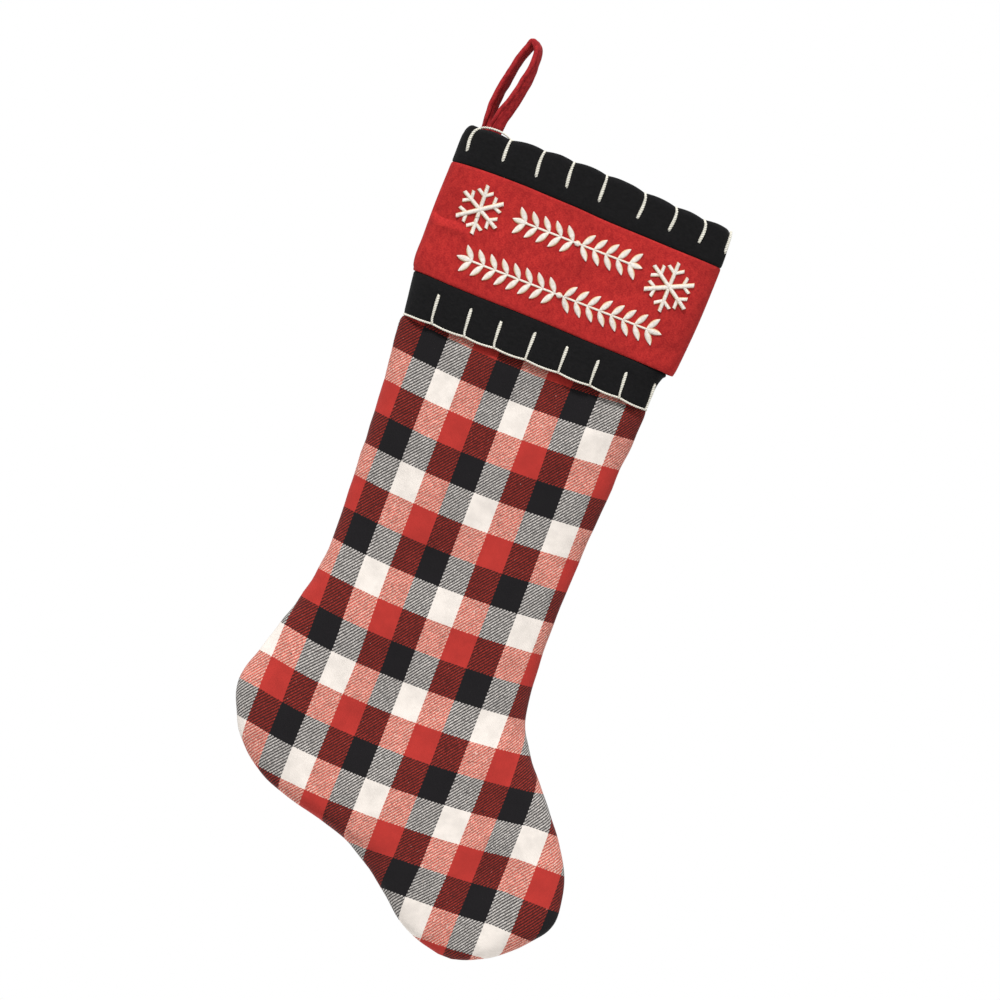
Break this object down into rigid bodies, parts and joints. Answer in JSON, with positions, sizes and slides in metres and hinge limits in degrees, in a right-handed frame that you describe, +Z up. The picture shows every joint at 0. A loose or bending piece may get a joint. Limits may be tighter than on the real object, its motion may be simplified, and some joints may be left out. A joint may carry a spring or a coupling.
{
  "type": "hanging stocking",
  "caption": "Lined flannel stocking in a woven check, with a banded felt cuff, yarn blanket stitching, snowflake and leaf embroidery, and a tape loop to hang it by.",
  "frame": {"origin": "the hook point: the top of the inside of the hanging loop, in the middle of the tape's width", "axes": "+Z up, +X from the heel side towards the toe, and the embroidered front faces -Y"},
  "size_m": [0.2498, 0.0282, 0.5793],
  "materials": {
    "crimson_tape": "matte folded cotton tape",
    "crimson_thread": "matte sewing thread",
    "cream_thread": "matte sewing thread",
    "dark_thread": "matte sewing thread",
    "check_flannel": "brushed twill in red, black and white check",
    "cream_lining": "plain woven cotton",
    "black_felt": "brushed felt",
    "red_felt": "brushed felt",
    "crimson_facing": "plain woven cotton",
    "cream_yarn": "two-ply yarn",
    "satin_thread": "satin stitch, slight sheen"
  },
  "bodies": {
    "loop": {"hanging_loop": "crimson_tape", "loop_topstitch": "crimson_thread"},
    "stocking": {"loop_tails": "crimson_tape", "loop_bar_tack": "cream_thread", "shell_front_panel": "check_flannel", "shell_back_panel": "check_flannel", "shell_seam_thread": "dark_thread", "lining_front_panel": "cream_lining", "lining_back_panel": "cream_lining", "lining_seam_thread": "cream_thread", "mouth_seam_stitches": "dark_thread", "cuff_upper_band": "black_felt", "cuff_centre_band": "red_felt", "cuff_lower_band": "black_felt", "cuff_facing": "crimson_facing", "cuff_upper_seam_stitches": "dark_thread", "cuff_lower_seam_stitches": "dark_thread", "upper_blanket_stitches": "cream_yarn", "upper_edge_yarn": "cream_yarn", "lower_blanket_stitches": "cream_yarn", "lower_edge_yarn": "cream_yarn", "snowflake_left": "satin_thread", "snowflake_right": "satin_thread", "garland_upper": "satin_thread", "garland_lower": "satin_thread"}
  },
  "joints": [
    {"name": "loop_swing", "type": "hinge", "parent": "loop", "child": "stocking", "pos_m": [-0.0052, 0, -0.0625], "axis": [1, 0, 0], "range_deg": [-70, 70]}
  ]
}
